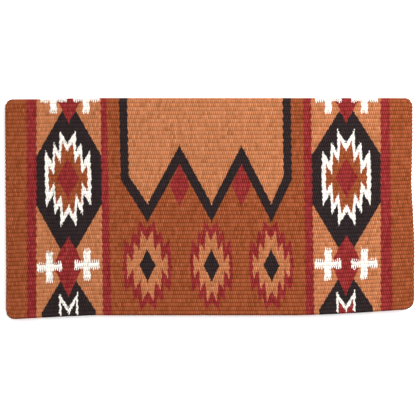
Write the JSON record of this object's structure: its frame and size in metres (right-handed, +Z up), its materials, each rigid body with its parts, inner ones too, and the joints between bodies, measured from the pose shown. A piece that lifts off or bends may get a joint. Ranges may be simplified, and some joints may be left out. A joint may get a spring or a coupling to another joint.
{
  "type": "saddle blanket",
  "caption": "Thick ribbed wool saddle blanket, tapestry woven with serrated diamonds, crosses and stripes, folded once and lying flat, and able to open out.",
  "frame": {"origin": "on the surface it lies on, under the middle of the folded blanket's box", "axes": "+X along the fold, +Y from the hem towards the fold, +Z up"},
  "size_m": [0.8696, 0.473, 0.016],
  "materials": {
    "rust_wool": "matte wool weft",
    "red_wool": "matte wool weft",
    "tan_wool": "matte wool weft",
    "black_wool": "matte wool weft",
    "white_wool": "matte wool weft"
  },
  "bodies": {
    "lower_half": {"lower_centre_ground": "rust_wool", "lower_column_left": "tan_wool", "lower_column_right": "tan_wool", "lower_edge_band_left": "rust_wool", "lower_edge_band_right": "rust_wool", "lower_inner_stripe_left": "red_wool", "lower_inner_stripe_right": "red_wool", "lower_outer_stripe_left": "red_wool", "lower_outer_stripe_right": "red_wool"},
    "upper_half": {"border_line": "black_wool", "centre_ground": "rust_wool", "column_left_fold_ground": "tan_wool", "column_left_hem_ground_inner": "tan_wool", "column_left_hem_ground_outer": "tan_wool", "column_right_fold_ground": "tan_wool", "column_right_hem_ground_inner": "tan_wool", "column_right_hem_ground_outer": "tan_wool", "cross_left_inner": "white_wool", "cross_left_outer": "white_wool", "cross_right_inner": "white_wool", "cross_right_outer": "white_wool", "edge_band_left": "rust_wool", "edge_band_right": "rust_wool", "fold_cross_left_inner": "white_wool", "fold_cross_left_outer": "white_wool", "fold_cross_right_inner": "white_wool", "fold_cross_right_outer": "white_wool", "hanging_diamond_left": "red_wool", "hanging_diamond_right": "red_wool", "hem_medallion_left": "black_wool", "hem_medallion_right": "black_wool", "hem_serration_left": "white_wool", "hem_serration_right": "white_wool", "inner_stripe_left": "red_wool", "inner_stripe_right": "red_wool", "linking_diamond_left": "red_wool", "linking_diamond_right": "red_wool", "medallion_diamond_left": "red_wool", "medallion_diamond_right": "red_wool", "medallion_left": "black_wool", "medallion_right": "black_wool", "medallion_ring_left": "white_wool", "medallion_ring_right": "white_wool", "medallion_star_left": "rust_wool", "medallion_star_right": "rust_wool", "outer_stripe_left": "red_wool", "outer_stripe_right": "red_wool", "seat_field": "tan_wool", "star_diamond_left": "black_wool", "star_diamond_middle": "black_wool", "star_diamond_right": "black_wool", "star_halo_left": "red_wool", "star_halo_middle": "red_wool", "star_halo_right": "red_wool", "star_left": "tan_wool", "star_middle": "tan_wool", "star_right": "tan_wool"}
  },
  "joints": [
    {"name": "fold_line", "type": "hinge", "parent": "lower_half", "child": "upper_half", "pos_m": [0, 0.23666, 0.008], "axis": [-1, 0, 0], "range_deg": [0, 180]}
  ]
}
